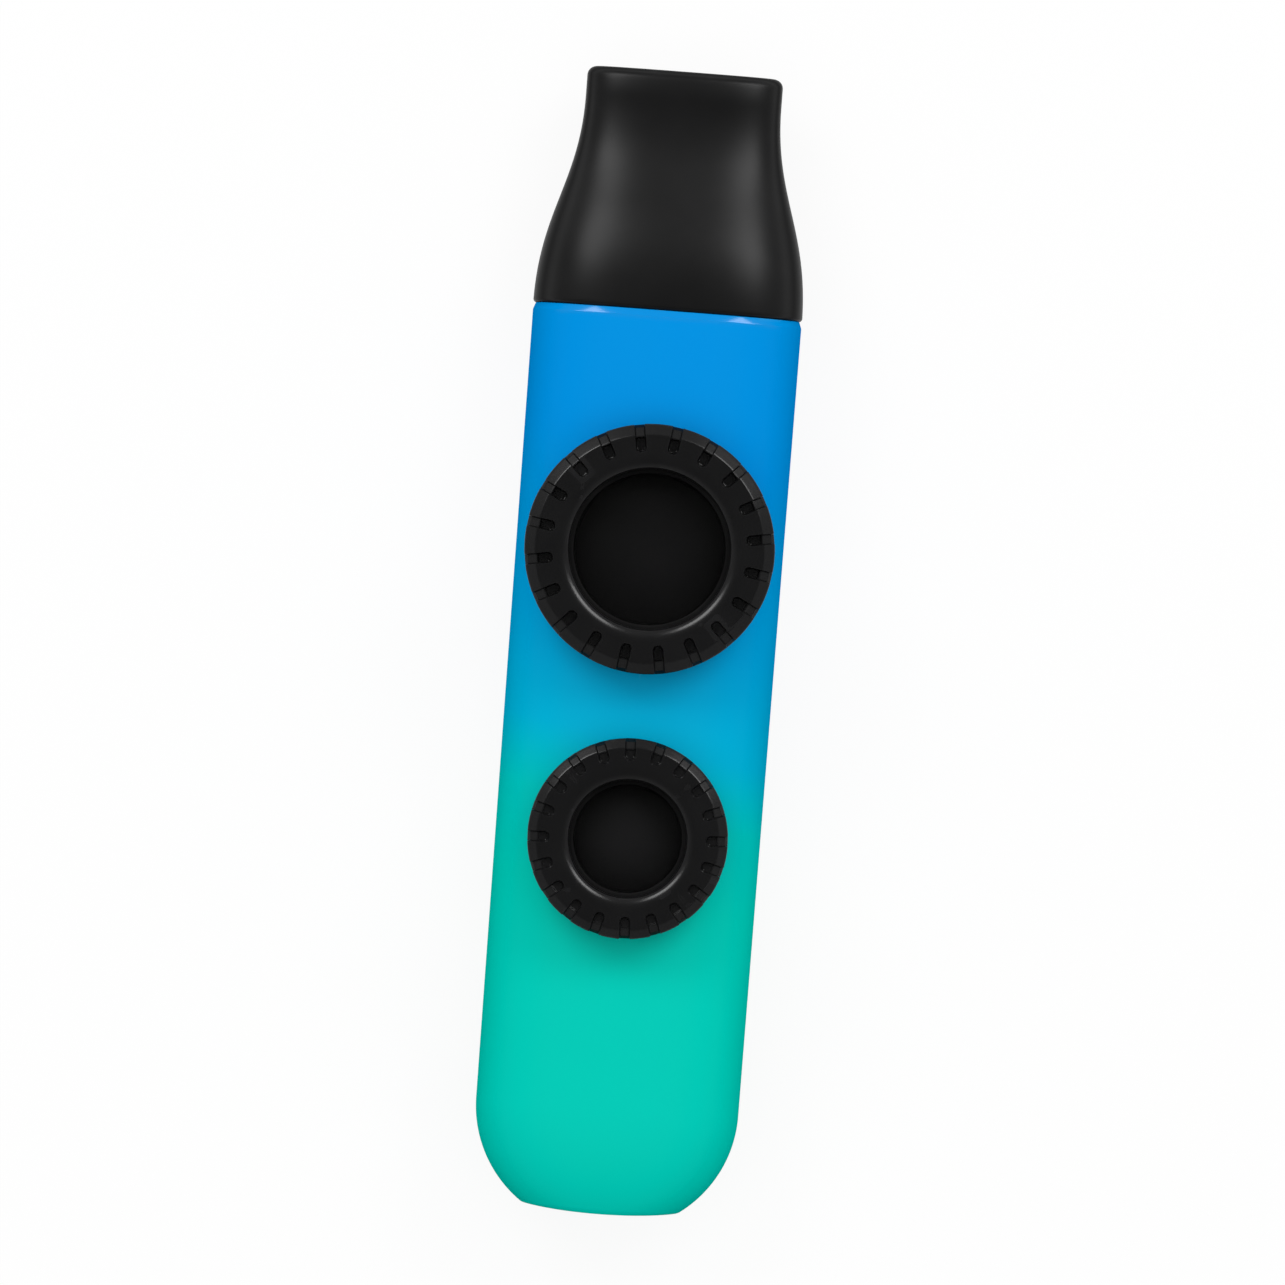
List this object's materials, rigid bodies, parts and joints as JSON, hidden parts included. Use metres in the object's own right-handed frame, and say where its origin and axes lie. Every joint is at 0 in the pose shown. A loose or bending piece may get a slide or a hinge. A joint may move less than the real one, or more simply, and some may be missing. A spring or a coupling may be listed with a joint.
{
  "type": "kazoo",
  "caption": "Flat hollow kazoo that lies on its back, with a plug-in duckbill mouthpiece and notched screw rings that clamp thin films over holes in its front.",
  "frame": {"origin": "middle of the object's box, on the surface that it lies on: the flat on the back of the body", "axes": "+Y along the body towards the mouthpiece, +Z out of the front where the rings are, X across"},
  "size_m": [0.03, 0.1274, 0.0242],
  "materials": {
    "body_paint": "satin paint that fades from blue at the mouthpiece to teal at the far end",
    "mouthpiece_plastic": "satin black moulded plastic",
    "ring_plastic": "satin black moulded plastic with polished edges",
    "turret_plastic": "black moulded plastic",
    "clamp_plastic": "black moulded plastic",
    "frame_card": "thin dark frame ring",
    "film": "thin smoky see-through film"
  },
  "bodies": {
    "body": {"body_shell": "body_paint", "large_turret": "turret_plastic", "large_film": "film", "large_film_frame": "frame_card", "small_turret": "turret_plastic", "small_film": "film", "small_film_frame": "frame_card"},
    "mouthpiece": {"mouthpiece": "mouthpiece_plastic"},
    "large_clamp": {"large_film_clamp": "clamp_plastic"},
    "large_screw": {"large_ring": "ring_plastic"},
    "small_clamp": {"small_film_clamp": "clamp_plastic"},
    "small_screw": {"small_ring": "ring_plastic"}
  },
  "joints": [
    {"name": "mouthpiece_pull", "type": "slide", "parent": "body", "child": "mouthpiece", "axis": [0, 1, 0], "range_m": [0, 0.01]},
    {"name": "large_ring_lift", "type": "slide", "parent": "body", "child": "large_clamp", "axis": [0, 0, 1], "range_m": [0, 0.0031]},
    {"name": "large_ring_turn", "type": "hinge", "parent": "large_clamp", "child": "large_screw", "pos_m": [0, 0.01035, 0.022], "axis": [0, 0, 1], "range_deg": [0, 1080]},
    {"name": "small_ring_lift", "type": "slide", "parent": "body", "child": "small_clamp", "axis": [0, 0, 1], "range_m": [0, 0.0031]},
    {"name": "small_ring_turn", "type": "hinge", "parent": "small_clamp", "child": "small_screw", "pos_m": [0, -0.02175, 0.022], "axis": [0, 0, 1], "range_deg": [0, 1080]}
  ],
  "couplings": [
    {"joint": "large_ring_lift", "follows": "large_ring_turn", "m_per_rad": 0.00015915},
    {"joint": "small_ring_lift", "follows": "small_ring_turn", "m_per_rad": 0.00015915}
  ]
}
